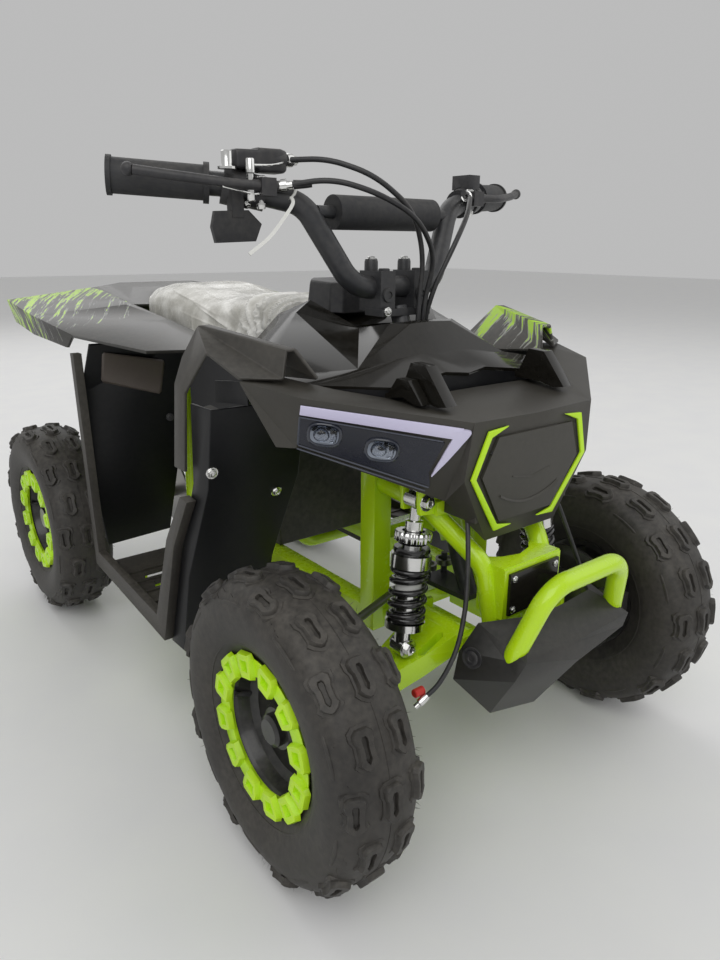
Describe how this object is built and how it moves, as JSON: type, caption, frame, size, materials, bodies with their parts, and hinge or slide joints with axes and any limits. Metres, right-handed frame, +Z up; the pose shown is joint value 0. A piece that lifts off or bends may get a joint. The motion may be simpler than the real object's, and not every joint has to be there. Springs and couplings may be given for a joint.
{
  "type": "quad bike",
  "caption": "Small quad bike with lugged tyres, lime tube frame, faceted black bodywork, foot trays, bumper hoop and steering handlebar.",
  "frame": {"origin": "centre of the footprint on the ground, midway between the axles", "axes": "+Z up, -Y is the front, +X is the rider's left"},
  "size_m": [0.6114, 1.0856, 0.7252],
  "materials": {
    "lime_paint": "gloss",
    "black_paint": "satin",
    "tyre_rubber": "matte",
    "matte_black": "matte",
    "gloss_black": "gloss",
    "lime_plastic": "gloss",
    "lamp_dark": "gloss",
    "light_bar": "gloss",
    "seat_cover": "gloss",
    "grip_rubber": "matte",
    "bright_steel": "polished",
    "steel": "satin",
    "cast_alloy": "satin"
  },
  "bodies": {
    "chassis": {"main_frame": "lime_paint", "nose_frame": "lime_paint", "seat_rails": "lime_paint", "footrest_loops": "lime_paint", "front_bumper": "lime_paint", "box_panel": "gloss_black", "lower_guard": "matte_black", "front_arms": "lime_paint", "front_shocks": "bright_steel", "front_springs": "black_paint", "fascia": "matte_black", "headlamps": "lamp_dark", "led_strips": "light_bar", "grille_trim": "lime_plastic", "grille_insert": "matte_black", "hood": "gloss_black", "front_fenders": "matte_black", "arch_liners": "matte_black", "foot_trays": "matte_black", "footwell_walls": "matte_black", "seat": "seat_cover", "rear_body": "gloss_black", "engine_block": "cast_alloy", "swingarm": "lime_paint", "rear_shock": "black_paint"},
    "steering": {"steering_column": "black_paint", "handlebar": "black_paint", "crossbar_pad": "matte_black", "grips": "grip_rubber", "brake_levers": "black_paint", "throttle_housing": "matte_black", "switch_box": "matte_black", "cables": "grip_rubber"},
    "knuckle_body_r": {"knuckle_r": "steel"},
    "knuckle_body_l": {"knuckle_l": "steel"},
    "wheel_fr": {"tyre_fr": "tyre_rubber", "rim_fr": "black_paint", "bead_ring_fr": "lime_plastic"},
    "wheel_fl": {"tyre_fl": "tyre_rubber", "rim_fl": "black_paint", "bead_ring_fl": "lime_plastic"},
    "rear_wheels": {"rear_axle": "steel", "rear_tyres": "tyre_rubber", "rear_rims": "black_paint", "rear_bead_rings": "lime_plastic"},
    "rod_r": {"tie_rod_r": "steel"},
    "rod_l": {"tie_rod_l": "steel"}
  },
  "joints": [
    {"name": "steer", "type": "hinge", "parent": "chassis", "child": "steering", "pos_m": [0, -0.372, 0.235], "axis": [0, 0.3942, 0.919], "range_deg": [-25, 25]},
    {"name": "kingpin_r", "type": "hinge", "parent": "chassis", "child": "knuckle_body_r", "pos_m": [-0.165, -0.378, 0.165], "axis": [0, 0, 1], "range_deg": [-25.5, 25.5]},
    {"name": "kingpin_l", "type": "hinge", "parent": "chassis", "child": "knuckle_body_l", "pos_m": [0.165, -0.378, 0.165], "axis": [0, 0, 1], "range_deg": [-25.5, 25.5]},
    {"name": "rod_end_r", "type": "hinge", "parent": "knuckle_body_r", "child": "rod_r", "pos_m": [-0.165, -0.332, 0.212], "axis": [0, 0, 1], "range_deg": [-28.5, 28.5]},
    {"name": "rod_end_l", "type": "hinge", "parent": "knuckle_body_l", "child": "rod_l", "pos_m": [0.165, -0.332, 0.212], "axis": [0, 0, 1], "range_deg": [-28.5, 28.5]},
    {"name": "front_wheel_r", "type": "hinge", "parent": "knuckle_body_r", "child": "wheel_fr", "pos_m": [-0.2585, -0.378, 0.165], "axis": [1, 0, 0], "continuous": true},
    {"name": "front_wheel_l", "type": "hinge", "parent": "knuckle_body_l", "child": "wheel_fl", "pos_m": [0.2585, -0.378, 0.165], "axis": [1, 0, 0], "continuous": true},
    {"name": "rear_axle_spin", "type": "hinge", "parent": "chassis", "child": "rear_wheels", "pos_m": [0, 0.378, 0.165], "axis": [1, 0, 0], "continuous": true}
  ],
  "couplings": [
    {"joint": "kingpin_r", "follows": "steer", "ratio": 1},
    {"joint": "kingpin_l", "follows": "steer", "ratio": 1},
    {"joint": "rod_end_r", "follows": "steer", "ratio": -1.1},
    {"joint": "rod_end_l", "follows": "steer", "ratio": -1.1}
  ]
}
